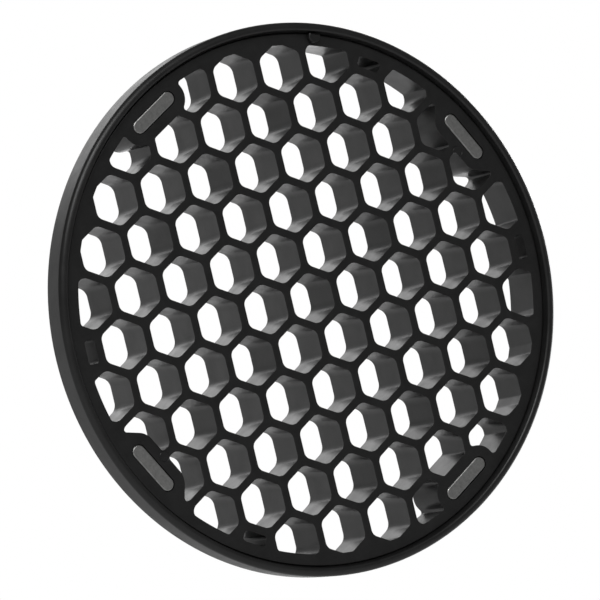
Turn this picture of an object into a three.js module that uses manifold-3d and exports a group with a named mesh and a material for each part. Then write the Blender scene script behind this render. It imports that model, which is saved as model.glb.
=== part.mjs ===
// Round honeycomb grid for a studio flash head: a moulded honeycomb insert with four bar magnets,
// held in a moulded rim ring. The optical axis is Y, the magnet face looks along -Y and lies in the
// plane y = 0, +Z is up, and the origin is the centre of that face. Lengths are in millimetres.

import * as THREE from 'three';
import { mergeVertices } from 'three/addons/utils/BufferGeometryUtils.js';
import Module from 'manifold-3d';

const wasm = await Module();
wasm.setup();

// ---- driving dimensions: rim ring ----
const OUTER_DIAMETER = 76.0; // over the rim ring
const RING_WALL = 1.15; // thickness of the ring beside the insert
const RING_DEPTH = 3.4; // how far the ring reaches behind the magnet face
const RING_DRAFT = 0.03; // how much smaller the ring's radius is at its back edge
const LIP_HEIGHT = 0.95; // how far the ring's lip stands ahead of the magnet face
const LIP_OUTER_ROUND = 0.75;
const LIP_INNER_ROUND = 0.3;
const BACK_EDGE_ROUND = 0.15;
const SHOULDER_WIDTH = 0.75; // inward step at the ring's back edge that the insert rests on
const SHOULDER_THICKNESS = 0.8;

// ---- driving dimensions: honeycomb insert ----
const INSERT_DEPTH = 7.0; // magnet face to back edge
const FACE_EDGE_CHAMFER = 0.2;
const FACE_LAND = 1.6; // solid band between the outermost cells and the insert's edge
const SPIGOT_WALL = 0.45; // wall outside the outermost cells at the back
const CELL_PITCH = 7.3; // centre to centre, across the flats
const LATTICE_TURN = 15; // degrees from +X to the nearest row of cells
const FRONT_WEB = 1.07; // wall between cells at the magnet face
const BACK_WEB = 0.4; // the same at the back, thinned by the mould draft
const STRAIGHT_WEB = 0.98; // the same, front and back, round the cells whose cores have no draft
const STRAIGHT_EVERY = 6; // one diagonal of the lattice in this many is moulded by those cores
const FRONT_CORNER = 1.16; // corner radius of a cell at the magnet face
const BACK_CORNER = 1.55; // the same at the back
const CUT_CELL_INSET = 1.2; // a cell's centre lies at least this far inside the outermost circle

// ---- driving dimensions: corner slots and index nub ----
const SLOT_WIDTH = 3.4;
const SLOT_HEIGHT = 1.5;
const SLOT_CORNER = 0.5;
const NUB_DIAMETER = 1.75;
const NUB_HEIGHT = 0.85;
const NUB_INSET = 0.45; // the nub's axis, in from the insert's edge

// ---- driving dimensions: bar magnets ----
const MAGNET_LENGTH = 7.8;
const MAGNET_WIDTH = 1.95;
const MAGNET_THICKNESS = 3.0;
const MAGNET_CHAMFER = 0.15;
const MAGNET_INSET = 2.7; // the magnet's centre line, in from the insert's edge
const MAGNET_DIRECTIONS = { top_right: 45, top_left: 135, bottom_left: 225, bottom_right: 315 };
const BOSS_WALL = 1.6; // solid plastic round each magnet

// ---- clearances ----
const FIT_GAP = 0.3; // insert to ring, all round and at the shoulder
const POCKET_GAP = 0.25; // magnet to its pocket

// ---- resolution ----
const TURN_SEGMENTS = 72; // round the whole part
const ROUND_STEPS = 2; // along a small edge round in the ring's profile
const CORNER_STEPS = 2; // along a cell's corner
const RIM_STEPS = 2; // along the curved side of a cut cell
const END_STEPS = 8; // along the half-round end of a magnet, pocket or boss
const CUT = 1.0; // how far a cutter runs past the faces it opens

// ---- derived sizes ----
const outerRadius = OUTER_DIAMETER / 2;
const boreRadius = outerRadius - RING_WALL;
const shoulderRadius = boreRadius - SHOULDER_WIDTH;
const shoulderFront = RING_DEPTH - SHOULDER_THICKNESS;
const insertRadius = boreRadius - FIT_GAP;
const spigotRadius = shoulderRadius - FIT_GAP;
const frontClip = insertRadius - FACE_LAND;
const backClip = spigotRadius - SPIGOT_WALL;
const magnetRadius = insertRadius - MAGNET_INSET;
const turn = THREE.MathUtils.degToRad(LATTICE_TURN);

// ---- small helpers ----

// Points on an arc round (cx, cy), from one angle to another, both ends included.
function arc(cx, cy, radius, from, to, steps) {
  const points = [];
  for (let i = 0; i <= steps; i++) {
    const a = from + ((to - from) * i) / steps;
    points.push(new THREE.Vector2(cx + radius * Math.cos(a), cy + radius * Math.sin(a)));
  }
  return points;
}

// A quarter round in a profile: quadrant 0 runs from +x to +y, and each next one starts where it ends.
function quarterRound(cx, cy, radius, quadrant) {
  const from = (quadrant * Math.PI) / 2;
  return arc(cx, cy, radius, from, from + Math.PI / 2, ROUND_STEPS);
}

// The manifold solid of a closed geometry.
function solid(geometry) {
  const bare = geometry.clone();
  bare.deleteAttribute('normal');
  bare.deleteAttribute('uv');
  const merged = mergeVertices(bare, 1e-5);
  const mesh = new wasm.Mesh({
    numProp: 3,
    vertProperties: new Float32Array(merged.attributes.position.array),
    triVerts: new Uint32Array(merged.index.array),
  });
  return new wasm.Manifold(mesh);
}

// The geometry of a manifold solid.
function geometryOf(body) {
  const mesh = body.getMesh();
  const geometry = new THREE.BufferGeometry();
  geometry.setAttribute('position', new THREE.BufferAttribute(mesh.vertProperties, 3));
  geometry.setIndex(new THREE.BufferAttribute(mesh.triVerts, 1));
  geometry.computeVertexNormals();
  return geometry;
}

// A prism along +Y from y0 to y1. Outlines lie in the XZ plane, x to the right and z up.
// The outline may change on the way: `far` has a point for each point of `near`.
function prism(near, far, y0, y1) {
  const geometry = new THREE.ExtrudeGeometry(new THREE.Shape(near), { depth: 1, bevelEnabled: false });
  const position = geometry.attributes.position;
  for (let i = 0; i < position.count; i++) {
    const x = position.getX(i);
    const z = position.getY(i);
    const isFar = position.getZ(i) > 0.5;
    const k = near.findIndex((p) => Math.hypot(p.x - x, p.y - z) < 1e-4);
    const point = isFar ? far[k] : near[k];
    position.setXYZ(i, point.x, isFar ? y1 : y0, point.y);
  }
  // Swapping y and z turned the faces inside out, so each triangle is listed backwards.
  geometry.setIndex(Array.from({ length: position.count }, (_, i) => i + 2 - 2 * (i % 3)));
  return geometry;
}

// Outline of a straight bar with half-round ends, centred on the origin and long in x.
function obround(length, width) {
  const r = width / 2;
  const h = length / 2 - r;
  return [
    ...arc(h, 0, r, -Math.PI / 2, Math.PI / 2, END_STEPS),
    ...arc(-h, 0, r, Math.PI / 2, (3 * Math.PI) / 2, END_STEPS),
  ];
}

// Outline of a rectangle with rounded corners, centred on the origin.
function roundedRectangle(width, height, r) {
  const x = width / 2 - r;
  const y = height / 2 - r;
  const quarter = Math.PI / 2;
  return [
    ...arc(x, y, r, 0, quarter, CORNER_STEPS),
    ...arc(-x, y, r, quarter, 2 * quarter, CORNER_STEPS),
    ...arc(-x, -y, r, 2 * quarter, 3 * quarter, CORNER_STEPS),
    ...arc(x, -y, r, 3 * quarter, 4 * quarter, CORNER_STEPS),
  ];
}

// An outline moved out to `radius` in direction `degrees`, its x side turned to lie across it.
function placed(outline, radius, degrees) {
  const a = THREE.MathUtils.degToRad(degrees);
  const centre = new THREE.Vector2(radius * Math.cos(a), radius * Math.sin(a));
  return outline.map((p) => p.clone().rotateAround(new THREE.Vector2(), a - Math.PI / 2).add(centre));
}

// The angle between two directions in degrees, from 0 to 180.
function angleBetween(a, b) {
  return Math.abs(THREE.MathUtils.euclideanModulo(a - b + 180, 360) - 180);
}

// ---- the honeycomb's cells ----

// Centres of the lattice round the middle cell, with the row numbers i and j of each.
function lattice() {
  const reach = Math.ceil(insertRadius / CELL_PITCH) + 2;
  const rowI = new THREE.Vector2(Math.cos(turn), Math.sin(turn));
  const rowJ = new THREE.Vector2(Math.cos(turn + Math.PI / 3), Math.sin(turn + Math.PI / 3));
  const centres = [];
  for (let i = -reach; i <= reach; i++) {
    for (let j = -reach; j <= reach; j++) {
      const centre = rowI.clone().multiplyScalar(i * CELL_PITCH).addScaledVector(rowJ, j * CELL_PITCH);
      centres.push({ i, j, centre });
    }
  }
  return centres;
}

// Where the segment from `inside` to `outside` crosses the circle of this radius about the origin.
function crossing(inside, outside, radius) {
  const step = outside.clone().sub(inside);
  const a = step.lengthSq();
  const b = inside.dot(step);
  const c = inside.lengthSq() - radius * radius;
  return inside.clone().addScaledVector(step, (-b + Math.sqrt(b * b - a * c)) / a);
}

// Corners of a hexagonal cell cut off by the outermost circle. Sharp corners are marked `round`.
function cutHexagon(centre, acrossFlats, clipRadius) {
  const corners = [];
  for (let k = 0; k < 6; k++) {
    const a = turn + Math.PI / 6 + (k * Math.PI) / 3;
    const r = acrossFlats / Math.sqrt(3);
    corners.push(new THREE.Vector2(centre.x + r * Math.cos(a), centre.y + r * Math.sin(a)));
  }
  const isIn = (p) => p.length() <= clipRadius;
  const outline = [];
  let exit = null;
  const start = corners.findIndex(isIn);
  for (let k = 0; k < 6; k++) {
    const p = corners[(start + k) % 6];
    const q = corners[(start + k + 1) % 6];
    if (isIn(p)) outline.push({ point: p, round: true });
    if (isIn(p) && !isIn(q)) exit = crossing(p, q, clipRadius);
    if (!isIn(p) && isIn(q)) {
      const entry = crossing(q, p, clipRadius);
      let sweep = entry.angle() - exit.angle();
      if (sweep < 0) sweep += 2 * Math.PI;
      const side = arc(0, 0, clipRadius, exit.angle(), exit.angle() + sweep, RIM_STEPS);
      side.forEach((point, n) => outline.push({ point, round: n === 0 || n === RIM_STEPS }));
    }
  }
  return outline;
}

// The same outline with its sharp corners rounded, as far as their sides leave room.
function rounded(outline, radius) {
  const points = [];
  outline.forEach(({ point, round }, k) => {
    if (!round) {
      points.push(point);
      return;
    }
    const before = outline[(k + outline.length - 1) % outline.length].point.clone().sub(point);
    const after = outline[(k + 1) % outline.length].point.clone().sub(point);
    const half = Math.acos(before.dot(after) / (before.length() * after.length())) / 2;
    const room = 0.48 * Math.min(before.length(), after.length());
    const tangent = Math.min(radius / Math.tan(half), room);
    const r = tangent * Math.tan(half);
    const middle = before.normalize().add(after.normalize()).normalize();
    const hub = point.clone().addScaledVector(middle, r / Math.sin(half));
    const mid = middle.angle() + Math.PI;
    const spread = Math.PI / 2 - half;
    points.push(...arc(hub.x, hub.y, r, mid - spread, mid + spread, CORNER_STEPS));
  });
  return points;
}

// A cell's cutter, running past both faces. It widens from the magnet face to the back, apart from
// the straight ones.
function cellCutter({ i, j, centre }) {
  const isStraight = (i - j) % STRAIGHT_EVERY === 0;
  const frontWeb = isStraight ? STRAIGHT_WEB : FRONT_WEB;
  const backWeb = isStraight ? STRAIGHT_WEB : BACK_WEB;
  const outlineAt = (y) => {
    const t = y / INSERT_DEPTH;
    const acrossFlats = CELL_PITCH - THREE.MathUtils.lerp(frontWeb, backWeb, t);
    const clip = THREE.MathUtils.lerp(frontClip, backClip, t);
    const corner = THREE.MathUtils.lerp(FRONT_CORNER, BACK_CORNER, t);
    return rounded(cutHexagon(centre, acrossFlats, clip), corner);
  };
  const y0 = -CUT;
  const y1 = INSERT_DEPTH + CUT;
  return solid(prism(outlineAt(y0), outlineAt(y1), y0, y1));
}

// Slots stand in for the cell past the end of each of the six main rows, clear of the magnets.
function slotCutters() {
  const first = Math.floor((frontClip - CUT_CELL_INSET) / CELL_PITCH) + 1;
  const innerFlat = first * CELL_PITCH - (CELL_PITCH - FRONT_WEB) / 2;
  if (innerFlat + SLOT_HEIGHT > frontClip) return [];
  const outline = roundedRectangle(SLOT_WIDTH, SLOT_HEIGHT, SLOT_CORNER);
  const clearWidth = MAGNET_LENGTH / 2 + BOSS_WALL + SLOT_WIDTH / 2;
  const clearAngle = THREE.MathUtils.radToDeg(clearWidth / magnetRadius);
  const cutters = [];
  for (let k = 0; k < 6; k++) {
    const direction = LATTICE_TURN + 60 * k;
    const nearest = Math.min(...Object.values(MAGNET_DIRECTIONS).map((d) => angleBetween(d, direction)));
    if (nearest < clearAngle) continue;
    const slot = placed(outline, innerFlat + SLOT_HEIGHT / 2, direction);
    cutters.push(solid(prism(slot, slot, -CUT, INSERT_DEPTH + CUT)));
  }
  return cutters;
}

// ---- the pieces ----

// Rim ring: a lip round the magnet face, and a shoulder at the back that the insert rests on.
function rimRing() {
  const start = new THREE.Vector2(boreRadius, shoulderFront);
  const lipInner = LIP_INNER_ROUND - LIP_HEIGHT;
  const lipOuter = LIP_OUTER_ROUND - LIP_HEIGHT;
  const backEdge = outerRadius - RING_DRAFT - BACK_EDGE_ROUND;
  const profile = [
    start,
    ...quarterRound(boreRadius + LIP_INNER_ROUND, lipInner, LIP_INNER_ROUND, 2),
    ...quarterRound(outerRadius - LIP_OUTER_ROUND, lipOuter, LIP_OUTER_ROUND, 3),
    ...quarterRound(backEdge, RING_DEPTH - BACK_EDGE_ROUND, BACK_EDGE_ROUND, 0),
    new THREE.Vector2(shoulderRadius, RING_DEPTH),
    new THREE.Vector2(shoulderRadius, shoulderFront),
    start.clone(),
  ];
  return new THREE.LatheGeometry(profile, TURN_SEGMENTS);
}

// The insert before its cells are cut: a flange inside the ring and a spigot behind it.
function insertBlank() {
  const flangeBack = shoulderFront - FIT_GAP;
  return new THREE.LatheGeometry(
    [
      new THREE.Vector2(0, 0),
      new THREE.Vector2(insertRadius - FACE_EDGE_CHAMFER, 0),
      new THREE.Vector2(insertRadius, FACE_EDGE_CHAMFER),
      new THREE.Vector2(insertRadius, flangeBack),
      new THREE.Vector2(spigotRadius, flangeBack),
      new THREE.Vector2(spigotRadius, INSERT_DEPTH),
      new THREE.Vector2(0, INSERT_DEPTH),
    ],
    TURN_SEGMENTS,
  );
}

// Index nub: a half-round key on the face at the top, trimmed to the insert's edge.
function indexNub() {
  const radius = NUB_DIAMETER / 2;
  const height = NUB_HEIGHT + CUT;
  const post = new THREE.CylinderGeometry(radius, radius, height, 2 * END_STEPS);
  post.translate(0, (CUT - NUB_HEIGHT) / 2, insertRadius - NUB_INSET);
  const trim = new THREE.CylinderGeometry(insertRadius, insertRadius, 4 * height, TURN_SEGMENTS);
  return solid(post).intersect(solid(trim));
}

// Honeycomb insert: cells and slots cut through the blank, solid bosses left round the magnet pockets.
function honeycombInsert() {
  const cells = lattice().filter(({ centre }) => centre.length() < frontClip - CUT_CELL_INSET);
  const openings = wasm.Manifold.union([...cells.map(cellCutter), ...slotCutters()]);
  const bossOutline = obround(MAGNET_LENGTH + 2 * BOSS_WALL, MAGNET_WIDTH + 2 * BOSS_WALL);
  const pocketOutline = obround(MAGNET_LENGTH + 2 * POCKET_GAP, MAGNET_WIDTH + 2 * POCKET_GAP);
  const bosses = [];
  const pockets = [];
  for (const direction of Object.values(MAGNET_DIRECTIONS)) {
    const boss = placed(bossOutline, magnetRadius, direction);
    const pocket = placed(pocketOutline, magnetRadius, direction);
    bosses.push(solid(prism(boss, boss, -2 * CUT, INSERT_DEPTH + 2 * CUT)));
    pockets.push(solid(prism(pocket, pocket, -CUT, MAGNET_THICKNESS + POCKET_GAP)));
  }
  const body = solid(insertBlank())
    .subtract(openings.subtract(wasm.Manifold.union(bosses)))
    .subtract(wasm.Manifold.union(pockets))
    .add(indexNub());
  return geometryOf(body);
}

// Bar magnet: half-round ends and a chamfer round the face that shows.
function barMagnet(direction) {
  const full = placed(obround(MAGNET_LENGTH, MAGNET_WIDTH), magnetRadius, direction);
  const small = obround(MAGNET_LENGTH - 2 * MAGNET_CHAMFER, MAGNET_WIDTH - 2 * MAGNET_CHAMFER);
  const face = placed(small, magnetRadius, direction);
  const bar = solid(prism(full, full, MAGNET_CHAMFER, MAGNET_THICKNESS));
  const bevel = solid(prism(face, full, 0, MAGNET_CHAMFER));
  return geometryOf(bar.add(bevel));
}

// ---- assembly ----
const blackPlastic = { color: 0x1c1c1e, roughness: 0.55, metalness: 0.0 };
const nickel = { color: 0xb9b7b0, roughness: 0.35, metalness: 1.0 };

function piece(name, geometry, finish) {
  const mesh = new THREE.Mesh(geometry, new THREE.MeshStandardMaterial(finish));
  mesh.name = name;
  return mesh;
}

const group = new THREE.Group();
group.add(piece('rim_ring', rimRing(), blackPlastic));
group.add(piece('honeycomb_insert', honeycombInsert(), blackPlastic));
for (const [place, direction] of Object.entries(MAGNET_DIRECTIONS)) {
  group.add(piece(`magnet_${place}`, barMagnet(direction), nickel));
}

export default group;
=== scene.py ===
"""Round honeycomb grid for a studio flash head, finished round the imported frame.

The optical axis is Y, the magnet face looks along -Y and lies in the plane y = 0, and +Z is up.
Lengths are in metres. A direction round the axis is in degrees from +X towards +Z, as seen from
the magnet face.
"""

import logging
import math
from collections.abc import Callable, Iterator
from contextlib import contextmanager
from dataclasses import dataclass, field
from enum import Enum

import bmesh
import bpy
import numpy as np
from mathutils import Euler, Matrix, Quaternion, Vector


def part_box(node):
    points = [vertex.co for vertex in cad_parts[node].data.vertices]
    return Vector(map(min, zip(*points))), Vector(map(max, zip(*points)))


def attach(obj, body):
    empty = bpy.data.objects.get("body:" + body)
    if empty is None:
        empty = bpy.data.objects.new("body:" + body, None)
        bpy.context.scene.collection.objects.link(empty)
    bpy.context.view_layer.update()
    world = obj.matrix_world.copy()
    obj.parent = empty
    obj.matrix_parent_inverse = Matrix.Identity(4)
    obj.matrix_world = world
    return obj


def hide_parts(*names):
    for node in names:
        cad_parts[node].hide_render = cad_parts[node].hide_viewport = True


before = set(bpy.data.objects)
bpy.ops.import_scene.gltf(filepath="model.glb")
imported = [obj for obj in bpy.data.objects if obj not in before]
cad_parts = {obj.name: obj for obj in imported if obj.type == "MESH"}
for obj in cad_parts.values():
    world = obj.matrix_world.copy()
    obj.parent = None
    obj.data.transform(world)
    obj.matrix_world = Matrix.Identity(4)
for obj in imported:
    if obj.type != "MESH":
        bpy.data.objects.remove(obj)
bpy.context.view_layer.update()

log = logging.getLogger("honeycomb_grid")

MM = 0.001
BODY = "root"
EVEN_WALL = 7.0  # degrees: a wall that turns less from ray to ray goes on evenly
TIP_STEP = 9.0  # degrees between points along a rolled corner
RAY_STEP = 1.5  # degrees between matched points, at least
OVERRUN = 1.0 * MM  # how far a cutter runs past the faces it opens
SAME_PLACE = 0.001 * MM  # points closer than this are one point
SHARP_RING = 35.0  # degrees: edges of the ring over this angle stay sharp
SHARP_MAGNET = 40.0  # the same, of a magnet
SHARP_INSERT = 32.0  # the same, of the insert


class MagnetPlace(Enum):
    """The four magnets, named by where they sit on the face."""

    TOP_RIGHT = "magnet_top_right"
    TOP_LEFT = "magnet_top_left"
    BOTTOM_LEFT = "magnet_bottom_left"
    BOTTOM_RIGHT = "magnet_bottom_right"


class CellCore(Enum):
    """Mould cores of the cells: tapered for draft, or straight on one diagonal of the lattice in six."""

    TAPERED = "tapered"
    STRAIGHT = "straight"


class Slot(Enum):
    """Finish slots of the record."""

    RIM = "rim_plastic"
    GRID = "grid_plastic"
    MAGNET = "magnet_plating"


# ---- modelling steps ----


def clear_selection() -> None:
    """Leaves edit mode and selects nothing, so that an operator acts on no other piece."""
    if bpy.context.object and bpy.context.object.mode != "OBJECT":
        bpy.ops.object.mode_set(mode="OBJECT")
    bpy.ops.object.select_all(action="DESELECT")


def take(piece: bpy.types.Object) -> None:
    """Makes one piece the only selected one and the active one."""
    clear_selection()
    piece.select_set(True)
    bpy.context.view_layer.objects.active = piece


def named(name: str, size: tuple[float, float, float] = (1.0, 1.0, 1.0)) -> bpy.types.Object:
    """Names the primitive just added, sizes it and fixes its place in its mesh.

    Args:
        name: Its name.
        size: Its size along X, Y and Z, where it was added one metre wide.

    Returns:
        The piece.
    """
    piece = bpy.context.object
    piece.name = name
    piece.data.name = name
    piece.scale = size
    bpy.ops.object.transform_apply(location=True, rotation=True, scale=True)
    return piece


@contextmanager
def editing(piece: bpy.types.Object) -> Iterator[None]:
    """Keeps a piece in edit mode, with nothing selected at the start.

    Args:
        piece: The mesh object to edit.
    """
    take(piece)
    bpy.ops.object.mode_set(mode="EDIT")
    bpy.ops.mesh.select_all(action="DESELECT")
    yield
    bpy.ops.object.mode_set(mode="OBJECT")


def pick(piece: bpy.types.Object, kind: str, wanted: Callable[..., bool]) -> int:
    """Selects the parts of a mesh in edit mode that pass a test, and nothing else.

    Args:
        piece: The piece in edit mode.
        kind: What is tested: "VERT", "EDGE" or "FACE".
        wanted: The test, called with each vertex, edge or face.

    Returns:
        How many passed.
    """
    bpy.ops.mesh.select_mode(type=kind)
    bpy.ops.mesh.select_all(action="DESELECT")
    mesh = bmesh.from_edit_mesh(piece.data)
    parts = {"VERT": mesh.verts, "EDGE": mesh.edges, "FACE": mesh.faces}[kind]
    chosen = [part for part in parts if wanted(part)]
    for part in chosen:
        part.select_set(True)
    mesh.select_flush_mode()
    bmesh.update_edit_mesh(piece.data, destructive=False)
    return len(chosen)


def finish_modifier(piece: bpy.types.Object, kind: str, **settings: object) -> None:
    """Adds a modifier to a piece and applies it.

    Args:
        piece: The piece.
        kind: The modifier's type, such as "BOOLEAN".
        **settings: The modifier's own settings.
    """
    take(piece)
    modifier = piece.modifiers.new(kind.title(), kind)
    for key, value in settings.items():
        setattr(modifier, key, value)
    bpy.ops.object.modifier_apply(modifier=modifier.name)


def cut(piece: bpy.types.Object, tool: bpy.types.Object, how: str = "DIFFERENCE") -> None:
    """Cuts, joins or trims a piece with a closed tool, and throws the tool away.

    Args:
        piece: The piece that stays.
        tool: The closed mesh to cut with.
        how: "DIFFERENCE", "UNION" or "INTERSECT".
    """
    finish_modifier(piece, "BOOLEAN", object=tool, operation=how, solver="MANIFOLD")
    bpy.data.objects.remove(tool)


def join(pieces: list[bpy.types.Object]) -> bpy.types.Object:
    """Joins separate shells into the first of them, and returns it."""
    take(pieces[0])
    for piece in pieces:
        piece.select_set(True)
    bpy.ops.object.join()
    return pieces[0]


def copy_to(piece: bpy.types.Object, place: Vector) -> bpy.types.Object:
    """Copies a piece with its own mesh and moves the copy's mesh by a vector.

    Args:
        piece: The piece to copy.
        place: How far the copy lies from it.

    Returns:
        The copy, with its place in its mesh.
    """
    take(piece)
    bpy.ops.object.duplicate(linked=False)
    bpy.ops.transform.translate(value=place)
    bpy.ops.object.transform_apply(location=True, rotation=True, scale=True)
    return bpy.context.object


def facing(degrees: float = 0.0) -> Euler:
    """Rotation that lays a primitive's own axis along +Y and turns it round that axis.

    Args:
        degrees: The turn, from +X towards +Z.

    Returns:
        The rotation to add the primitive with.
    """
    return Euler((-math.pi / 2, -math.radians(degrees), 0.0))


def around(radius: float, degrees: float, y: float = 0.0) -> Vector:
    """Finds a point round the axis.

    Args:
        radius: Its distance from the axis.
        degrees: Its direction, from +X towards +Z.
        y: Its depth along the axis.

    Returns:
        The point.
    """
    angle = math.radians(degrees)
    return Vector((radius * math.cos(angle), y, radius * math.sin(angle)))


def between(start: float, end: float, share: float) -> float:
    """The value at a share of the way from start to end."""
    return start + (end - start) * share


def soften(piece: bpy.types.Object, sharp_over: float) -> None:
    """Shades a piece smooth apart from its sharp edges, and keeps its flat faces true.

    Args:
        piece: The piece.
        sharp_over: Edges over this angle stay sharp, in degrees.
    """
    take(piece)
    bpy.ops.object.shade_smooth_by_angle(angle=math.radians(sharp_over))
    finish_modifier(piece, "WEIGHTED_NORMAL", mode="FACE_AREA", weight=100, keep_sharp=True)


def obround_bar(
    name: str, length: float, width: float, near: float, far: float, steps: int
) -> bpy.types.Object:
    """Models an upright bar with half-round ends, centred on the axis and long in X.

    Args:
        name: The bar's name.
        length: Over the half-round ends.
        width: Across the bar.
        near: Where it starts along Y.
        far: Where it ends along Y.
        steps: Segments along each quarter of its ends.

    Returns:
        The bar.
    """
    clear_selection()
    bpy.ops.mesh.primitive_cube_add(size=1.0, location=(0.0, (near + far) / 2, 0.0))
    bar = named(name, (length, far - near, width))
    with editing(bar):
        pick(bar, "EDGE", lambda e: abs(e.verts[0].co.y - e.verts[1].co.y) > (far - near) / 2)
        bpy.ops.mesh.bevel(offset=width / 2, segments=steps, affect="EDGES", clamp_overlap=False)
        bpy.ops.mesh.select_all(action="SELECT")
        bpy.ops.mesh.remove_doubles(threshold=SAME_PLACE)
    return bar


def turn_to(piece: bpy.types.Object, radius: float, degrees: float) -> None:
    """Moves a piece from the axis out to its place, its long side across the radius.

    Args:
        piece: The piece, modelled on the axis and long in X.
        radius: How far out it goes.
        degrees: In which direction, from +X towards +Z.
    """
    take(piece)
    piece.location = around(radius, degrees)
    piece.rotation_euler = (0.0, -math.radians(degrees - 90.0), 0.0)
    bpy.ops.object.transform_apply(location=True, rotation=True, scale=True)


# ---- node building ----


@dataclass
class NodeBench:
    """Adds nodes to a tree and links them by socket name."""

    tree: bpy.types.NodeTree

    def add(
        self, kind: str, inputs: dict[str | int, object] | None = None, **settings: object
    ) -> bpy.types.Node:
        """Adds a node.

        Args:
            kind: The node's type without "ShaderNode".
            inputs: Values or output sockets for its inputs, by name or number.
            **settings: The node's own settings.

        Returns:
            The node.
        """
        node = self.tree.nodes.new(kind if kind.startswith("Node") else "ShaderNode" + kind)
        for key, value in settings.items():
            setattr(node, key, value)
        for key, value in (inputs or {}).items():
            if isinstance(value, bpy.types.NodeSocket):
                self.tree.links.new(value, node.inputs[key])
            else:
                node.inputs[key].default_value = value
        return node

    def math(self, how: str, *values: object, clamp: bool = False) -> bpy.types.NodeSocket:
        """A Math node's result for two or three values or sockets."""
        node = self.add("Math", dict(enumerate(values)), operation=how, use_clamp=clamp)
        return node.outputs[0]

    def span(
        self, value: object, low: float, high: float, to_low: float, to_high: float
    ) -> bpy.types.NodeSocket:
        """Carries a value from one range to another.

        Args:
            value: The value or socket.
            low: Start of its range.
            high: End of its range.
            to_low: What the start becomes.
            to_high: What the end becomes.

        Returns:
            The result, held within the second range.
        """
        node = self.add("MapRange", {0: value, 1: low, 2: high, 3: to_low, 4: to_high})
        return node.outputs[0]

    def blend(self, share: object, first: object, second: object) -> bpy.types.NodeSocket:
        """The mix of two colours."""
        node = self.add("Mix", {0: share, 6: first, 7: second}, data_type="RGBA")
        return node.outputs[2]


class SurfaceEffects:
    """Node groups that more than one finish uses, each built once."""

    def __init__(self) -> None:
        """Builds the three groups."""
        self.grain = self._grain()
        # Edge mask: partly lightly worn edges, partly a painted edge highlight.
        self.wear_and_highlight = self._edge_wear_and_highlight()
        self.scuffs = self._scuffs()

    @staticmethod
    def _new(name: str, takes: dict[str, float | None], gives: list[str]) -> tuple[NodeBench, object, object]:
        """Starts a group with its sockets.

        Args:
            name: The group's name.
            takes: Inputs with their defaults, None for a vector.
            gives: Outputs, all plain values.

        Returns:
            The group's bench, its input node and its output node.
        """
        tree = bpy.data.node_groups.new(name, "ShaderNodeTree")
        for label, start in takes.items():
            kind = "NodeSocketVector" if start is None else "NodeSocketFloat"
            socket = tree.interface.new_socket(label, in_out="INPUT", socket_type=kind)
            if start is not None:
                socket.default_value = start
        for label in gives:
            tree.interface.new_socket(label, in_out="OUTPUT", socket_type="NodeSocketFloat")
        bench = NodeBench(tree)
        return bench, bench.add("NodeGroupInput"), bench.add("NodeGroupOutput")

    def _grain(self) -> bpy.types.NodeTree:
        """Moulded or plated grain: a fine height and a broad, slow mottle."""
        bench, taken, given = self._new(
            "surface_grain",
            {"Vector": None, "Fine Scale": 9000.0, "Mottle Scale": 260.0},
            ["Height", "Mottle"],
        )
        place = taken.outputs["Vector"]
        fine = bench.add(
            "TexNoise",
            {"Vector": place, "Scale": taken.outputs["Fine Scale"], "Detail": 3.0, "Roughness": 0.6},
        )
        mottle = bench.add(
            "TexNoise",
            {"Vector": place, "Scale": taken.outputs["Mottle Scale"], "Detail": 4.0, "Roughness": 0.65},
        )
        bench.tree.links.new(fine.outputs[0], given.inputs["Height"])
        bench.tree.links.new(bench.span(mottle.outputs[0], 0.3, 0.7, 0.0, 1.0), given.inputs["Mottle"])
        return bench.tree

    def _edge_wear_and_highlight(self) -> bpy.types.NodeTree:
        """Edges painted lighter, partly because they are lightly worn and partly as a painted highlight where
        a rounded edge catches light: where a rounded normal leaves the true one, broken up by noise.
        """
        bench, taken, given = self._new(
            "edge_wear_and_highlight",
            {"Vector": None, "Radius": 0.1 * MM, "Breakup Scale": 1400.0},
            ["Wear"],
        )
        rounded = bench.add("Bevel", {"Radius": taken.outputs["Radius"]}, samples=4)
        true = bench.add("NewGeometry")
        match = bench.add(
            "VectorMath", {0: rounded.outputs[0], 1: true.outputs["Normal"]}, operation="DOT_PRODUCT"
        )
        edge = bench.span(match.outputs["Value"], 0.97, 0.8, 0.0, 1.0)
        breakup = bench.add(
            "TexNoise",
            {"Vector": taken.outputs["Vector"], "Scale": taken.outputs["Breakup Scale"], "Detail": 3.0},
        )
        worn = bench.math("MULTIPLY", edge, bench.span(breakup.outputs[0], 0.42, 0.62, 0.15, 1.0))
        bench.tree.links.new(worn, given.inputs["Wear"])
        return bench.tree

    def _scuffs(self) -> bpy.types.NodeTree:
        """Fine crossing scuffs: thin lines in noise that is drawn out one way and then the other."""
        bench, taken, given = self._new(
            "fine_scuffs",
            {"Vector": None, "Scale": 900.0, "Length": 12.0},
            ["Mask"],
        )
        lines = []
        for turned in (0.5, -0.9):
            turn = bench.add(
                "VectorRotate", {"Vector": taken.outputs["Vector"], "Angle": turned}, rotation_type="Y_AXIS"
            )
            split = bench.add("SeparateXYZ", {0: turn.outputs[0]})
            drawn = bench.math("DIVIDE", split.outputs[0], taken.outputs["Length"])
            point = bench.add("CombineXYZ", {0: drawn, 1: split.outputs[1], 2: split.outputs[2]})
            noise = bench.add(
                "TexNoise",
                {"Vector": point.outputs[0], "Scale": taken.outputs["Scale"], "Detail": 2.0},
            )
            off = bench.math("ABSOLUTE", bench.math("SUBTRACT", noise.outputs[0], 0.5))
            lines.append(bench.span(off, 0.0, 0.035, 1.0, 0.0))
        bench.tree.links.new(bench.math("MAXIMUM", *lines), given.inputs["Mask"])
        return bench.tree


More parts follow.
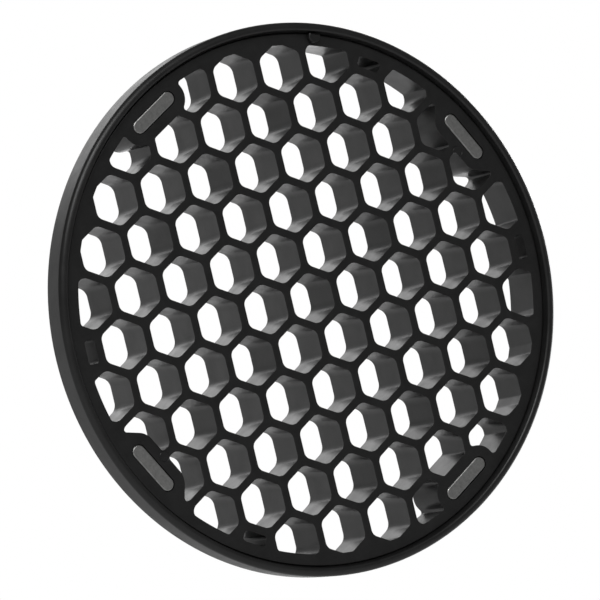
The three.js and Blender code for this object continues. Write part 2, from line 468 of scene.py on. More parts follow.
@dataclass
class FinishStart:
    """A new material with its shader, its bench and the object's own coordinates."""

    name: str

    def __post_init__(self) -> None:
        """Makes the material and finds its nodes."""
        self.material = bpy.data.materials.new(self.name)
        self.material.use_nodes = True
        self.bench = NodeBench(self.material.node_tree)
        self.links = self.material.node_tree.links
        self.shader = self.material.node_tree.nodes["Principled BSDF"]
        self.place = self.bench.add("TexCoord").outputs["Object"]

    def effect(self, group: bpy.types.NodeTree, **values: float) -> bpy.types.Node:
        """Adds a shared effect that follows the object.

        Args:
            group: The effect's node group.
            **values: Its inputs, named with underscores for spaces.

        Returns:
            The group's node.
        """
        node = self.bench.add("Group", node_tree=group)
        self.links.new(self.place, node.inputs["Vector"])
        for label, value in values.items():
            node.inputs[label.replace("_", " ").title()].default_value = value
        return node


def grey(shade: float, warmth: float = 1.0) -> tuple[float, float, float, float]:
    """A grey as a colour, with its blue scaled to make it warmer."""
    return (shade, shade, shade * warmth, 1.0)


@dataclass(frozen=True)
class MouldedPlastic:
    """Black satin plastic as it comes out of a mould: fine grain, faint flow mottle, and edges painted
    lighter, partly as light wearing and partly as a painted highlight.
    """

    name: str
    shade: float = 0.012
    # Lighter colour for scuffs and edges; on the edges it is partly a painted highlight.
    rubbed_and_highlight_shade: float = 0.03
    roughness: float = 0.36
    roughness_spread: float = 0.1
    rubbed_roughness: float = 0.3
    specular: float = 0.5
    grain_depth: float = 0.006 * MM
    fine_scale: float = 9000.0
    mottle_scale: float = 320.0
    wear_and_highlight_radius: float = 0.12 * MM
    wear_and_highlight_amount: float = 0.35
    scuff_amount: float = 0.12
    darkest: float = 0.85
    lightest: float = 1.25

    def build(self, effects: SurfaceEffects) -> bpy.types.Material:
        """Builds the material.

        Args:
            effects: The shared node groups.

        Returns:
            The material.
        """
        start = FinishStart(self.name)
        bench, links, shader = start.bench, start.links, start.shader
        grain = start.effect(effects.grain, fine_scale=self.fine_scale, mottle_scale=self.mottle_scale)
        wear_and_highlight = start.effect(effects.wear_and_highlight, radius=self.wear_and_highlight_radius)
        scuffs = start.effect(effects.scuffs)
        mottle = grain.outputs["Mottle"]
        rubbed_and_lit = bench.math("MULTIPLY", wear_and_highlight.outputs["Wear"], self.wear_and_highlight_amount)
        scuffed = bench.math("MULTIPLY", scuffs.outputs["Mask"], self.scuff_amount)
        marked = bench.math("MAXIMUM", rubbed_and_lit, scuffed)
        mottled = bench.blend(mottle, grey(self.shade * self.darkest), grey(self.shade * self.lightest))
        # Scuffs and edges take the lighter colour; on the edges this is partly a painted highlight.
        links.new(bench.blend(marked, mottled, grey(self.rubbed_and_highlight_shade)), shader.inputs["Base Color"])
        spread = self.roughness_spread / 2
        satin = bench.span(mottle, 0.0, 1.0, self.roughness - spread, self.roughness + spread)
        towards = bench.math("MULTIPLY", marked, bench.math("SUBTRACT", self.rubbed_roughness, satin))
        links.new(bench.math("ADD", satin, towards), shader.inputs["Roughness"])
        height = bench.math("SUBTRACT", grain.outputs["Height"], scuffed)
        bump = bench.add("Bump", {"Strength": 1.0, "Distance": self.grain_depth, "Height": height})
        links.new(bump.outputs[0], shader.inputs["Normal"])
        shader.inputs["Specular IOR Level"].default_value = self.specular
        return start.material


@dataclass(frozen=True)
class ScuffedNickel:
    """Nickel plating dulled on its face by handling, with its edges painted brighter, partly as worn plating
    and partly as a painted highlight.
    """

    name: str
    shade: float = 0.55
    dull_shade: float = 0.3
    bright_shade: float = 0.85
    roughness: float = 0.3
    dull_roughness: float = 0.5
    bright_roughness: float = 0.18
    grain_depth: float = 0.012 * MM
    fine_scale: float = 5200.0
    mottle_scale: float = 1500.0
    scuff_scale: float = 1600.0
    scuff_amount: float = 0.6
    warmth: float = 0.98
    wear_and_highlight_radius: float = 0.16 * MM

    def build(self, effects: SurfaceEffects) -> bpy.types.Material:
        """Builds the material.

        Args:
            effects: The shared node groups.

        Returns:
            The material.
        """
        start = FinishStart(self.name)
        bench, links, shader = start.bench, start.links, start.shader
        grain = start.effect(effects.grain, fine_scale=self.fine_scale, mottle_scale=self.mottle_scale)
        rubbed_and_lit = start.effect(effects.wear_and_highlight, radius=self.wear_and_highlight_radius).outputs["Wear"]
        scuffs = start.effect(effects.scuffs, scale=self.scuff_scale)
        scuffed = bench.math("MULTIPLY", scuffs.outputs["Mask"], self.scuff_amount)
        dull = bench.math("MAXIMUM", grain.outputs["Mottle"], scuffed)
        plated = bench.blend(dull, grey(self.shade, self.warmth), grey(self.dull_shade, self.warmth))
        # Brighter edge colour: partly worn plating, partly a painted highlight.
        polished_and_lit = grey(self.bright_shade, self.warmth)
        links.new(bench.blend(rubbed_and_lit, plated, polished_and_lit), shader.inputs["Base Color"])
        satin = bench.span(dull, 0.0, 1.0, self.roughness, self.dull_roughness)
        towards = bench.math("MULTIPLY", rubbed_and_lit, bench.math("SUBTRACT", self.bright_roughness, satin))
        links.new(bench.math("ADD", satin, towards), shader.inputs["Roughness"])
        height = grain.outputs["Height"]
        bump = bench.add("Bump", {"Strength": 1.0, "Distance": self.grain_depth, "Height": height})
        links.new(bump.outputs[0], shader.inputs["Normal"])
        shader.inputs["Metallic"].default_value = 1.0
        return start.material


@dataclass(frozen=True)
class PaleBoard:
    """Pale matt floor board with a faint uneven tone."""

    name: str = "pale_board"
    shade: float = 0.8
    unevenness: float = 0.03
    cloud_scale: float = 6.0
    roughness: float = 0.7

    def build(self) -> bpy.types.Material:
        """Builds the material."""
        start = FinishStart(self.name)
        clouds = {"Vector": start.place, "Scale": self.cloud_scale, "Detail": 4.0}
        cloudy = start.bench.add("TexNoise", clouds)
        tones = [grey(self.shade * (1.0 + side * self.unevenness)) for side in (-1, 1)]
        start.links.new(start.bench.blend(cloudy.outputs[0], *tones), start.shader.inputs["Base Color"])
        start.shader.inputs["Roughness"].default_value = self.roughness
        return start.material


# ---- the pieces ----


def fit_out(
    piece: bpy.types.Object, stands_for: str, slot: Slot, finish: bpy.types.Material
) -> bpy.types.Object:
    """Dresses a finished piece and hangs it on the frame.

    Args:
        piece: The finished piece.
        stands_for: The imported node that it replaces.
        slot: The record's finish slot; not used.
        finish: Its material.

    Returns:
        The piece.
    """
    piece.data.materials.clear()
    piece.data.materials.append(finish)
    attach(piece, BODY)
    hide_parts(stands_for)
    faces = sum(len(polygon.vertices) - 2 for polygon in piece.data.polygons)
    log.info("%s: %d triangles, finish %s", piece.name, faces, finish.name)
    return piece


@dataclass
class RimRing:
    """Moulded ring round the insert: a rounded lip ahead of the face and a shoulder behind the flange."""

    wall: float = 1.15 * MM
    draft: float = 0.03 * MM
    lip_outer_round: float = 0.75 * MM
    lip_inner_round: float = 0.3 * MM
    back_edge_round: float = 0.15 * MM
    shoulder_round: float = 0.12 * MM
    shoulder_width: float = 0.75 * MM
    shoulder_thickness: float = 0.8 * MM
    turn_steps: int = 240
    round_steps: int = 6

    def __post_init__(self) -> None:
        """Reads the ring's outer size from the frame."""
        low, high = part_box("rim_ring")
        self.outer = (high.x - low.x) / 2
        self.front = low.y
        self.back = high.y
        self.bore = self.outer - self.wall
        self.shoulder_front = self.back - self.shoulder_thickness

    def build(self) -> bpy.types.Object:
        """Models the ring: a rectangle becomes its section, which is then spun round the axis."""
        clear_selection()
        middle = ((self.bore + self.outer) / 2, (self.front + self.back) / 2, 0.0)
        bpy.ops.mesh.primitive_plane_add(size=1.0, location=middle)
        ring = named("rim_ring_moulding", (self.wall, self.back - self.front, 1.0))
        with editing(ring):
            bpy.ops.mesh.select_all(action="SELECT")
            bpy.ops.mesh.bisect(plane_co=(0.0, self.shoulder_front, 0.0), plane_no=(0.0, 1.0, 0.0))
            self._pull_shoulder(ring)
            self._draft_side(ring)
            for corner, radius in self._corners():
                pick(ring, "VERT", lambda v, c=corner: (v.co - c).length < SAME_PLACE)
                bpy.ops.mesh.bevel(
                    offset=radius, segments=self.round_steps, affect="VERTICES", clamp_overlap=False
                )
            self._spin(ring)
        soften(ring, SHARP_RING)
        return ring

    def _pull_shoulder(self, ring: bpy.types.Object) -> None:
        """Pulls the section's inner side inwards behind the shoulder's front."""
        pick(
            ring,
            "EDGE",
            lambda e: all(
                abs(v.co.x - self.bore) < SAME_PLACE and v.co.y > self.shoulder_front - SAME_PLACE
                for v in e.verts
            ),
        )
        bpy.ops.mesh.extrude_region_move(
            TRANSFORM_OT_translate={"value": (-self.shoulder_width, 0.0, 0.0)}
        )

    def _draft_side(self, ring: bpy.types.Object) -> None:
        """Draws the outer side in towards the back."""
        pick(ring, "VERT", lambda v: (v.co - Vector((self.outer, self.back, 0.0))).length < SAME_PLACE)
        bpy.ops.transform.translate(value=(-self.draft, 0.0, 0.0))
        pick(ring, "EDGE", lambda e: len(e.link_faces) == 2)
        bpy.ops.mesh.dissolve_edges(use_verts=True)

    def _corners(self) -> list[tuple[Vector, float]]:
        """Corners of the section, each with its radius."""
        shoulder = self.bore - self.shoulder_width
        return [
            (Vector((self.bore, self.front, 0.0)), self.lip_inner_round),
            (Vector((self.outer, self.front, 0.0)), self.lip_outer_round),
            (Vector((self.outer - self.draft, self.back, 0.0)), self.back_edge_round),
            (Vector((shoulder, self.back, 0.0)), self.shoulder_round),
            (Vector((shoulder, self.shoulder_front, 0.0)), self.shoulder_round),
        ]

    def _spin(self, ring: bpy.types.Object) -> None:
        """Spins the section's outline once round the axis and closes the seam."""
        bpy.ops.mesh.select_all(action="SELECT")
        bpy.ops.mesh.delete(type="ONLY_FACE")
        bpy.ops.mesh.select_all(action="SELECT")
        bpy.ops.mesh.spin(
            steps=self.turn_steps, angle=2 * math.pi, center=(0.0, 0.0, 0.0), axis=(0.0, 1.0, 0.0)
        )
        bpy.ops.mesh.select_all(action="SELECT")
        bpy.ops.mesh.remove_doubles(threshold=SAME_PLACE)
        bpy.ops.mesh.normals_make_consistent(inside=False)


@dataclass
class BarMagnet:
    """Nickel-plated bar magnet with half-round ends and a softened rim, flush in its pocket."""

    place: MagnetPlace
    length: float = 7.8 * MM
    width: float = 1.95 * MM
    rim_round: float = 0.22 * MM
    end_steps: int = 10

    def __post_init__(self) -> None:
        """Reads the magnet's place and depth from the frame."""
        low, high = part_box(self.place.value)
        middle = (low + high) / 2
        self.radius = math.hypot(middle.x, middle.z)
        self.direction = math.degrees(math.atan2(middle.z, middle.x))
        self.front = low.y
        self.back = high.y

    def build(self) -> bpy.types.Object:
        """Models the bar on the axis, rounds its rims and moves it out to its pocket."""
        name = self.place.value.replace("magnet_", "magnet_bar_")
        bar = obround_bar(name, self.length, self.width, self.front, self.back, self.end_steps)
        with editing(bar):
            pick(bar, "EDGE", lambda e: abs(e.verts[0].co.y - e.verts[1].co.y) < SAME_PLACE)
            bpy.ops.mesh.bevel(offset=self.rim_round, segments=3, affect="EDGES", clamp_overlap=False)
            bpy.ops.mesh.select_all(action="SELECT")
            bpy.ops.mesh.normals_make_consistent(inside=False)
        turn_to(bar, self.radius, self.direction)
        soften(bar, SHARP_MAGNET)
        return bar


@dataclass(frozen=True)
class Boss:
    """Solid plastic round a magnet, seen along the axis: everything within a radius of a segment."""

    start: np.ndarray
    end: np.ndarray
    radius: float

    @classmethod
    def round_magnet(cls, magnet: BarMagnet, wall: float) -> "Boss":
        """The boss that leaves a wall round a magnet."""
        half = (magnet.length - magnet.width) / 2
        middle = around(magnet.radius, magnet.direction)
        along = around(half, magnet.direction + 90.0)
        ends = [np.array((point.x, point.z)) for point in (middle - along, middle + along)]
        return cls(ends[0], ends[1], magnet.width / 2 + wall)

    def distance(self, points: np.ndarray) -> np.ndarray:
        """How far each point lies outside the boss, negative within it."""
        along = self.end - self.start
        share = np.clip((points - self.start) @ along / (along @ along), 0.0, 1.0)
        return np.hypot(*(points - self.start - share[:, None] * along).T) - self.radius


@dataclass(frozen=True)
class CellOutline:
    """A cell seen along the axis at one depth: a rounded hexagon less the circle's outside and bosses."""

    centre: np.ndarray
    flats: float
    corner: float
    turn: float
    clip: float
    bosses: tuple[Boss, ...]
    ray_count: int = 360
    ray_steps: int = 140
    ray_reach: float = 1.4  # times the size across the flats

    def _from_hexagon(self, points: np.ndarray) -> np.ndarray:
        """How far points lie outside the rounded hexagon, negative inside it."""
        angles = np.radians(self.turn + 60.0 * np.arange(6))
        normals = np.stack([np.cos(angles), np.sin(angles)])
        tangents = np.stack([-normals[1], normals[0]])
        offset = points - self.centre
        inner = self.flats / 2 - self.corner
        out = offset @ normals - inner
        past = np.maximum(np.abs(offset @ tangents) - inner / math.sqrt(3), 0.0)
        deepest = out.max(axis=1)
        return np.where(deepest < 0.0, deepest, np.hypot(out, past).min(axis=1)) - self.corner

    def reach(self, points: np.ndarray) -> np.ndarray:
        """How far points lie outside the cell, negative inside it."""
        parts = [self._from_hexagon(points), np.hypot(*points.T) - self.clip]
        parts += [-boss.distance(points) for boss in self.bosses]
        return np.max(parts, axis=0)

    def is_cut(self) -> bool:
        """True where the circle or a boss takes something off the hexagon."""
        grid = self._grid()
        inside = self._from_hexagon(grid) < 0.0
        return bool((self.reach(grid)[inside] > 0.0).any())

    def _grid(self) -> np.ndarray:
        """Points all over the hexagon and a little past it, a fiftieth of its size apart."""
        line = np.linspace(-0.6, 0.6, 61) * self.flats
        return self.centre + np.stack(np.meshgrid(line, line), axis=-1).reshape(-1, 2)

    def deepest(self) -> np.ndarray:
        """The point of the cell that lies farthest from all its walls."""
        grid = self._grid()
        return grid[np.argmin(self.reach(grid))]

    def _wall_normal(self, points: np.ndarray) -> np.ndarray:
        """Unit vectors out of the cell at points beside its walls."""
        step = 0.01 * SAME_PLACE
        slope = [self.reach(points + side) - self.reach(points - side) for side in np.eye(2) * step]
        normal = np.stack(slope, axis=1)
        return normal / np.hypot(*normal.T)[:, None]

    def rolled(self, middle: np.ndarray, tip: float) -> np.ndarray:
        """The outline with no inner corner tighter than a radius, as a ball rolled inside leaves it.

        Args:
            middle: A point inside, from which every wall can be seen.
            tip: The ball's radius.

        Returns:
            Points of the outline in order, from +X towards +Z.
        """
        tip = min(tip, -0.7 * float(self.reach(middle[None])[0]))
        angles = np.linspace(-math.pi, math.pi, self.ray_count, endpoint=False)
        rays = np.stack([np.cos(angles), np.sin(angles)], axis=1)
        steps = np.linspace(0.0, self.ray_reach * self.flats, self.ray_steps)
        along_rays = middle + rays[:, None] * steps[None, :, None]
        reach = self.reach(along_rays.reshape(-1, 2)).reshape(len(rays), -1) + tip
        last = np.argmax(reach > 0.0, axis=1) - 1
        row = np.arange(len(rays))
        share = -reach[row, last] / (reach[row, last + 1] - reach[row, last])
        ball = middle + rays * ((last + share) * steps[1])[:, None]
        normal = self._wall_normal(ball)
        outline = []
        for k in range(len(rays)):
            follow = (k + 1) % len(rays)
            outline.append(ball[k] + tip * normal[k])
            outline.extend(self._tip(ball[k], normal[k], ball[follow], normal[follow], tip))
        return np.array(outline)

    @staticmethod
    def _tip(
        ball: np.ndarray, normal: np.ndarray, next_ball: np.ndarray, next_normal: np.ndarray, tip: float
    ) -> list[np.ndarray]:
        """The round that the ball leaves where it passes from one wall to the next.

        Args:
            ball: The ball's centre before the corner.
            normal: Out of the wall it touches there.
            next_ball: Its centre after the corner.
            next_normal: Out of the wall it touches then.
            tip: Its radius.

        Returns:
            Points along the round, none where the wall goes on evenly.
        """
        turn = math.atan2(normal[0] * next_normal[1] - normal[1] * next_normal[0], normal @ next_normal)
        if turn < math.radians(EVEN_WALL):
            return []
        walls = np.stack([normal, next_normal])
        corner = np.linalg.solve(walls, np.array([normal @ ball, next_normal @ next_ball]))
        start = math.atan2(normal[1], normal[0])
        parts = max(2, math.ceil(turn / math.radians(TIP_STEP)))
        bends = [start + turn * k / parts for k in range(parts + 1)]
        return [corner + tip * np.array((math.cos(bend), math.sin(bend))) for bend in bends]


def thinned(points: np.ndarray, spare: float) -> list[int]:
    """Which points of a line are needed to keep it within a small distance of the whole.

    Args:
        points: The line's points.
        spare: The distance.

    Returns:
        Their numbers, the two ends included.
    """
    if len(points) < 3:
        return list(range(len(points)))
    along = points[-1] - points[0]
    length = math.hypot(*along)
    offset = points - points[0]
    if length < SAME_PLACE:
        away = np.hypot(*offset.T)
    else:
        away = np.abs(offset[:, 0] * along[1] - offset[:, 1] * along[0]) / length
    worst = int(np.argmax(away))
    if away[worst] < spare:
        return [0, len(points) - 1]
    return thinned(points[: worst + 1], spare) + [worst + k for k in thinned(points[worst:], spare)[1:]]


def matched(outlines: list[np.ndarray], middle: np.ndarray) -> list[np.ndarray]:
    """Gives outlines the same number of points, each row of points in one direction from the middle.

    Args:
        outlines: Closed outlines round the middle.
        middle: The point that they go round.

    Returns:
        The outlines, with points only where they bend.
    """
    polar, wanted = [], []
    for outline in outlines:
        offset = outline - middle
        angles = np.arctan2(offset[:, 1], offset[:, 0])
        order = np.argsort(angles)
        polar.append((angles[order], np.hypot(*offset.T)[order]))
        kept = thinned(outline[order], 6 * SAME_PLACE)
        wanted.extend(angles[order][kept])
    directions = []
    for angle in sorted(wanted):
        if not directions or angle - directions[-1] > math.radians(RAY_STEP):
            directions.append(angle)
    rays = np.stack([np.cos(directions), np.sin(directions)], axis=1)
    return [
        middle + rays * np.interp(directions, angles, radii, period=2 * math.pi)[:, None]
        for angles, radii in polar
    ]


def grown(outline: np.ndarray, margin: float) -> np.ndarray:
    """An outline moved outwards by a small margin, point for point."""
    along = np.roll(outline, -1, axis=0) - np.roll(outline, 1, axis=0)
    outward = np.stack([along[:, 1], -along[:, 0]], axis=1)
    return outline + margin * outward / np.hypot(*along.T)[:, None]


@dataclass
class HoneycombInsert:
    """Moulded insert: tapered cells, corner slots, magnet bosses with their pockets, and an index nub."""

    fit_gap: float = 0.3 * MM
    face_edge_round: float = 0.2 * MM
    back_edge_round: float = 0.12 * MM
    face_land: float = 1.6 * MM
    spigot_wall: float = 0.45 * MM
    cell_pitch: float = 7.3 * MM
    lattice_turn: float = 15.0
    front_web: dict[CellCore, float] = field(
        default_factory=lambda: {CellCore.TAPERED: 1.1 * MM, CellCore.STRAIGHT: 1.0 * MM}
    )
    back_web: dict[CellCore, float] = field(
        default_factory=lambda: {CellCore.TAPERED: 0.45 * MM, CellCore.STRAIGHT: 1.0 * MM}
    )
    straight_every: int = 6
    front_corner: float = 1.16 * MM
    back_corner: float = 1.56 * MM
    cut_cell_inset: float = 1.2 * MM
    tip_round: float = 0.45 * MM
    mouth_chamfer: float = 0.03 * MM
    boss_wall: float = 1.6 * MM
    pocket_gap: float = 0.06 * MM
    pocket_depth: float = 3.25 * MM
    end_steps: int = 10
    slot_width: float = 3.4 * MM
    slot_height: float = 1.5 * MM
    slot_corner: float = 0.5 * MM
    slot_directions: tuple[float, ...] = (15.0, 75.0, 195.0, 255.0)
    pin_diameter: float = 1.4 * MM
    pin_inset: float = 4.95 * MM
    pin_groove: float = 0.16 * MM
    pin_depth: float = 0.08 * MM
    pin_directions: tuple[float, ...] = (43.6, 225.0)
    nub_diameter: float = 1.75 * MM
    nub_inset: float = 0.45 * MM
    nub_direction: float = 90.0
    nub_round: float = 0.18 * MM
    nub_root: float = 0.5 * MM
    turn_steps: int = 192

    def __post_init__(self) -> None:
        """Reads the insert's outer sizes from the frame and works out the rest."""
        low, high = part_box("honeycomb_insert")
        self.radius = (high.x - low.x) / 2
        self.depth = high.y
        self.nub_front = low.y
        ring = RimRing()
        self.spigot = ring.bore - ring.shoulder_width - self.fit_gap
        self.flange_back = ring.shoulder_front - self.fit_gap
        self.front_clip = self.radius - self.face_land
        self.back_clip = self.spigot - self.spigot_wall
        self.magnets = [BarMagnet(place) for place in MagnetPlace]

    def build(self) -> bpy.types.Object:
        """Models the blank, cuts the cells, slots, pockets and pin marks, and adds the nub."""
        insert = self._blank()
        slots = [self._slot(direction) for direction in self.slot_directions]
        cut(insert, join([*self._cells(), *slots]))
        cut(insert, join([self._pocket(magnet) for magnet in self.magnets]))
        cut(insert, join([self._pin_mark(direction) for direction in self.pin_directions]))
        cut(insert, self._nub(), "UNION")
        soften(insert, SHARP_INSERT)
        return insert

    def _blank(self) -> bpy.types.Object:
        """A flange disc with the narrower spigot drawn out of its back."""
        clear_selection()
        bpy.ops.mesh.primitive_cylinder_add(
            vertices=self.turn_steps,
            radius=self.radius,
            depth=self.flange_back,
            location=(0.0, self.flange_back / 2, 0.0),
            rotation=facing(),
        )
        blank = named("honeycomb_moulding")
        with editing(blank):
            pick(blank, "FACE", lambda f: f.normal.y > 0.9)
            bpy.ops.mesh.inset(thickness=self.radius - self.spigot, use_even_offset=True)
            bpy.ops.mesh.extrude_region_move(
                TRANSFORM_OT_translate={"value": (0.0, self.depth - self.flange_back, 0.0)}
            )
            pick(blank, "EDGE", lambda e: all(v.co.y < SAME_PLACE for v in e.verts))
            bpy.ops.mesh.bevel(offset=self.face_edge_round, segments=4, affect="EDGES", clamp_overlap=False)
            pick(blank, "EDGE", lambda e: all(v.co.y > self.depth - SAME_PLACE for v in e.verts))
            bpy.ops.mesh.bevel(offset=self.back_edge_round, segments=3, affect="EDGES", clamp_overlap=False)
            self._part_faces()
        return blank

    def _part_faces(self) -> None:
        """Parts the blank along two sets of cell rows, so that no flat face ends up full of holes."""
        spacing = self.cell_pitch * math.sqrt(0.75)
        rows = math.floor(self.radius / spacing)
        for direction in (self.lattice_turn + 90.0, self.lattice_turn + 150.0):
            across = around(1.0, direction)
            for row in range(-rows, rows + 1):
                bpy.ops.mesh.select_all(action="SELECT")
                bpy.ops.mesh.bisect(plane_co=across * (row * spacing), plane_no=across)

    def _outline(self, centre: Vector, core: CellCore, y: float) -> CellOutline:
        """A cell's outline at one depth, where sizes change evenly from the face to the back."""
        share = y / self.depth
        web = between(self.front_web[core], self.back_web[core], share)
        return CellOutline(
            centre=np.array((centre.x, centre.z)),
            flats=self.cell_pitch - web,
            corner=between(self.front_corner, self.back_corner, share),
            turn=self.lattice_turn,
            clip=between(self.front_clip, self.back_clip, share),
            bosses=tuple(Boss.round_magnet(magnet, self.boss_wall) for magnet in self.magnets),
        )

    def _lattice(self) -> Iterator[tuple[Vector, CellCore, bool]]:
        """Centres of the cells that the insert has room for.

        Yields:
            A centre, the core that moulds it, and whether the circle or a boss cuts the cell.
        """
        reach = math.ceil(self.radius / self.cell_pitch) + 2
        row_i = around(self.cell_pitch, self.lattice_turn)
        row_j = around(self.cell_pitch, self.lattice_turn + 60.0)
        for i in range(-reach, reach + 1):
            for j in range(-reach, reach + 1):
                centre = row_i * i + row_j * j
                if centre.length >= self.front_clip - self.cut_cell_inset:
                    continue
                core = CellCore.TAPERED if (i - j) % self.straight_every else CellCore.STRAIGHT
                yield centre, core, self._outline(centre, core, 0.0).is_cut()

    def _cells(self) -> list[bpy.types.Object]:
        """The cells' cutters: whole ones copied from one model for each core, cut ones each their own."""
        models = {core: self._cutter(Vector(), core) for core in CellCore}
        cutters, cut_cells = [], 0
        for centre, core, is_cut in self._lattice():
            cut_cells += is_cut
            cutters.append(self._cutter(centre, core) if is_cut else copy_to(models[core], centre))
        for model in models.values():
            bpy.data.objects.remove(model)
        log.info("cells: %d whole, %d cut", len(cutters) - cut_cells, cut_cells)
        return cutters

    def _cutter(self, centre: Vector, core: CellCore) -> bpy.types.Object:
        """One cell's cutter, from its outline at the face to that at the back, with both mouths chamfered.

        The outlines follow a tip radius round bosses and the circle, which no primitive gives, so
        the cutter's mesh is made from their points.
        """
        outlines = [self._outline(centre, core, y) for y in (0.0, self.depth)]
        middle = outlines[0].deepest()
        front, back = matched([outline.rolled(middle, self.tip_round) for outline in outlines], middle)
        chamfer = self.mouth_chamfer
        mouths = [grown(front, chamfer), grown(back, chamfer)]
        rings = [
            (mouths[0], -OVERRUN),
            (mouths[0], 0.0),
            (front, chamfer),
            (back, self.depth - chamfer),
            (mouths[1], self.depth),
            (mouths[1], self.depth + OVERRUN),
        ]
        points = [(x, y, z) for ring, y in rings for x, z in ring]
        count = len(front)
        last = count * (len(rings) - 1)
        sides = [
            (level + k, level + (k + 1) % count, level + count + (k + 1) % count, level + count + k)
            for level in range(0, last, count)
            for k in range(count)
        ]
        mesh = bpy.data.meshes.new("cell_cutter")
        mesh.from_pydata(points, [], [*sides, range(count), range(last + count - 1, last - 1, -1)])
        cutter = bpy.data.objects.new("cell_cutter", mesh)
        bpy.context.scene.collection.objects.link(cutter)
        with editing(cutter):
            bpy.ops.mesh.select_all(action="SELECT")
            bpy.ops.mesh.normals_make_consistent(inside=False)
        return cutter

    def _pocket(self, magnet: BarMagnet) -> bpy.types.Object:
        """Cutter for one magnet's pocket, a small gap wider than the magnet all round."""
        length, width = (size + 2 * self.pocket_gap for size in (magnet.length, magnet.width))
        bar = obround_bar("pocket_tool", length, width, -OVERRUN, self.pocket_depth, self.end_steps)
        turn_to(bar, magnet.radius, magnet.direction)
        return bar

    def _slot(self, direction: float) -> bpy.types.Object:
        """Cutter for the rounded slot that stands in for the cell past the end of a row."""
        rows = math.floor((self.front_clip - self.cut_cell_inset) / self.cell_pitch) + 1
        inner_flat = rows * self.cell_pitch - (self.cell_pitch - self.front_web[CellCore.TAPERED]) / 2
        near, far = -OVERRUN, self.depth + OVERRUN
        clear_selection()
        bpy.ops.mesh.primitive_cube_add(size=1.0, location=(0.0, (near + far) / 2, 0.0))
        slot = named("slot_tool", (self.slot_width, far - near, self.slot_height))
        with editing(slot):
            pick(slot, "EDGE", lambda e: abs(e.verts[0].co.y - e.verts[1].co.y) > self.depth)
            bpy.ops.mesh.bevel(offset=self.slot_corner, segments=5, affect="EDGES", clamp_overlap=False)
        turn_to(slot, inner_flat + self.slot_height / 2, direction)
        return slot

    def _pin_mark(self, direction: float) -> bpy.types.Object:
        """Cutter for the shallow ring that an ejector pin leaves in the face."""
        clear_selection()
        bpy.ops.mesh.primitive_torus_add(
            location=around(self.radius - self.pin_inset, direction, self.pin_groove / 2 - self.pin_depth),
            rotation=facing(),
            major_segments=36,
            minor_segments=10,
            major_radius=self.pin_diameter / 2,
            minor_radius=self.pin_groove / 2,
        )
        return named("pin_mark")

    def _nub(self) -> bpy.types.Object:
        """The half-round key on the face, softened on top and trimmed to the insert's edge."""
        middle = (self.nub_root + self.nub_front) / 2
        clear_selection()
        bpy.ops.mesh.primitive_cylinder_add(
            vertices=48,
            radius=self.nub_diameter / 2,
            depth=self.nub_root - self.nub_front,
            location=around(self.radius - self.nub_inset, self.nub_direction, middle),
            rotation=facing(),
        )
        nub = named("index_nub")
        bpy.ops.mesh.primitive_cylinder_add(
            vertices=self.turn_steps, radius=self.radius, depth=4 * MM, rotation=facing()
        )
        cut(nub, named("nub_trim"), "INTERSECT")
        with editing(nub):
            pick(nub, "EDGE", lambda e: all(v.co.y < self.nub_front + SAME_PLACE for v in e.verts))
            bpy.ops.mesh.bevel(offset=self.nub_round, segments=4, affect="EDGES", clamp_overlap=False)
        return nub


# ---- the studio ----


@dataclass(frozen=True)
class Softbox:
    """Softbox aimed at the grid.

    Its azimuth is in degrees from straight ahead of the face towards +X, its elevation in degrees
    above the axis, and its glow is the radiance of its cloth.
    """

    name: str
    azimuth: float
    elevation: float
    width: float
    height: float
    glow: float
    distance: float = 0.9

    def build(self) -> bpy.types.Object:
        """Puts the softbox up, aimed at the grid and unseen by the camera."""
        lamp = bpy.data.lights.new(self.name, "AREA")
        lamp.shape = "RECTANGLE"
        lamp.size = self.width
        lamp.size_y = self.height
        lamp.energy = math.pi * self.width * self.height * self.glow
        stand = bpy.data.objects.new(self.name, lamp)
        bpy.context.scene.collection.objects.link(stand)
        side = math.radians(self.azimuth)
        up = math.radians(self.elevation)
        out = Vector((math.sin(side) * math.cos(up), -math.cos(side) * math.cos(up), math.sin(up)))
        stand.location = out * self.distance
        stand.rotation_euler = (-out).to_track_quat("-Z", "Y").to_euler()
        stand.visible_camera = False
        return stand


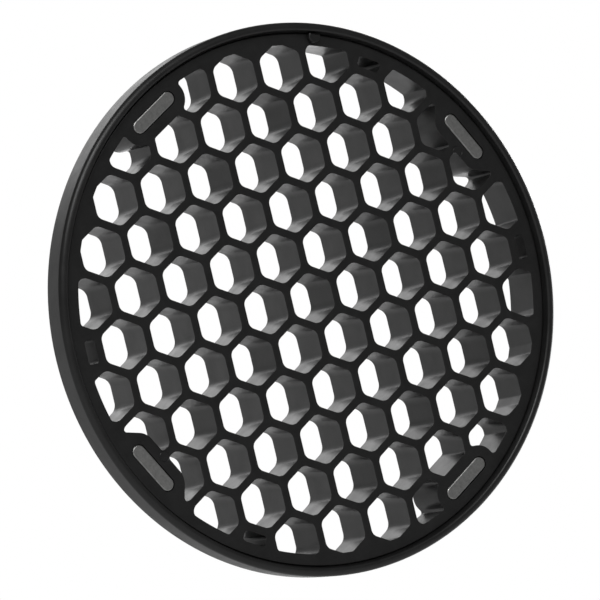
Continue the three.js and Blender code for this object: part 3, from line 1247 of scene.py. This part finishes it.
@dataclass
class Studio:
    """Camera, pale floor, bright surround and soft lights."""

    camera_turn: float = 27.215
    camera_rise: float = 6.343
    camera_roll: float = -0.145
    camera_distance: float = 0.5413
    aim: tuple[float, float, float] = (-0.001943, 0.0, -0.000352)
    lens: float = 238.28
    floor_height: float = -0.11
    floor_size: float = 3.0
    surround: float = 0.15
    softboxes: tuple[Softbox, ...] = (
        Softbox("back_right", 135.0, -12.0, 1.5, 0.6, 2.4),
        Softbox("back_high", 135.0, 18.0, 0.4, 0.28, 7.0),
        Softbox("top_back", 180.0, 28.0, 0.5, 0.45, 1.3),
        Softbox("back_left", -165.0, -4.0, 0.4, 0.58, 0.5),
        Softbox("wide_right", 120.0, 18.0, 3.0, 0.6, 0.3),
        Softbox("high_key", -45.0, 35.0, 0.4, 0.3, 6.0),
        Softbox("high_front", -15.0, 35.0, 0.4, 0.28, 2.5),
        Softbox("low_front", 30.0, -30.0, 0.75, 0.6, 1.5),
    )

    def build(self) -> None:
        """Sets everything up."""
        self._camera()
        self._floor()
        self._surround()
        for softbox in self.softboxes:
            softbox.build()

    def _camera(self) -> None:
        """Camera left of the axis and a little below it, looking up at the face."""
        lens = bpy.data.cameras.new("camera")
        lens.lens = self.lens
        lens.sensor_width = 36.0
        lens.clip_start = 0.01
        lens.clip_end = 20.0
        camera = bpy.data.objects.new("camera", lens)
        bpy.context.scene.collection.objects.link(camera)
        turn = math.radians(self.camera_turn)
        rise = math.radians(self.camera_rise)
        look = Vector((math.sin(turn) * math.cos(rise), math.cos(turn) * math.cos(rise), math.sin(rise)))
        camera.location = Vector(self.aim) - look * self.camera_distance
        level = look.to_track_quat("-Z", "Y")
        roll = Quaternion((0.0, 0.0, 1.0), math.radians(self.camera_roll))
        camera.rotation_euler = (level @ roll).to_euler()
        bpy.context.scene.camera = camera

    def _floor(self) -> None:
        """A pale board well below the grid."""
        clear_selection()
        bpy.ops.mesh.primitive_plane_add(size=self.floor_size, location=(0.0, 0.0, self.floor_height))
        floor = named("floor")
        floor.data.materials.append(PaleBoard().build())

    def _surround(self) -> None:
        """A white background that lights the grid less than it shows."""
        scene = bpy.context.scene
        scene.view_settings.view_transform = "Standard"
        world = bpy.data.worlds.new("surround")
        world.use_nodes = True
        scene.world = world
        bench = NodeBench(world.node_tree)
        world.node_tree.nodes.clear()
        white = (1.0, 1.0, 1.0, 1.0)
        seen = bench.add("Background", {"Color": white, "Strength": 1.0})
        lighting = bench.add("Background", {"Color": white, "Strength": self.surround})
        direct = bench.add("LightPath").outputs["Is Camera Ray"]
        mixed = bench.add("MixShader", {0: direct, 1: lighting.outputs[0], 2: seen.outputs[0]})
        bench.add("OutputWorld", {"Surface": mixed.outputs[0]})


def main() -> None:
    """Builds the studio and the pieces in order, and reports each."""
    logging.basicConfig(level=logging.INFO, format="%(name)s: %(message)s")
    Studio().build()
    effects = SurfaceEffects()
    rim_plastic = MouldedPlastic("rim_black_satin").build(effects)
    grid_plastic = MouldedPlastic("grid_black_satin").build(effects)
    plating = ScuffedNickel("scuffed_nickel").build(effects)
    fit_out(RimRing().build(), "rim_ring", Slot.RIM, rim_plastic)
    fit_out(HoneycombInsert().build(), "honeycomb_insert", Slot.GRID, grid_plastic)
    for place in MagnetPlace:
        fit_out(BarMagnet(place).build(), place.value, Slot.MAGNET, plating)


if __name__ == "__main__":
    main()
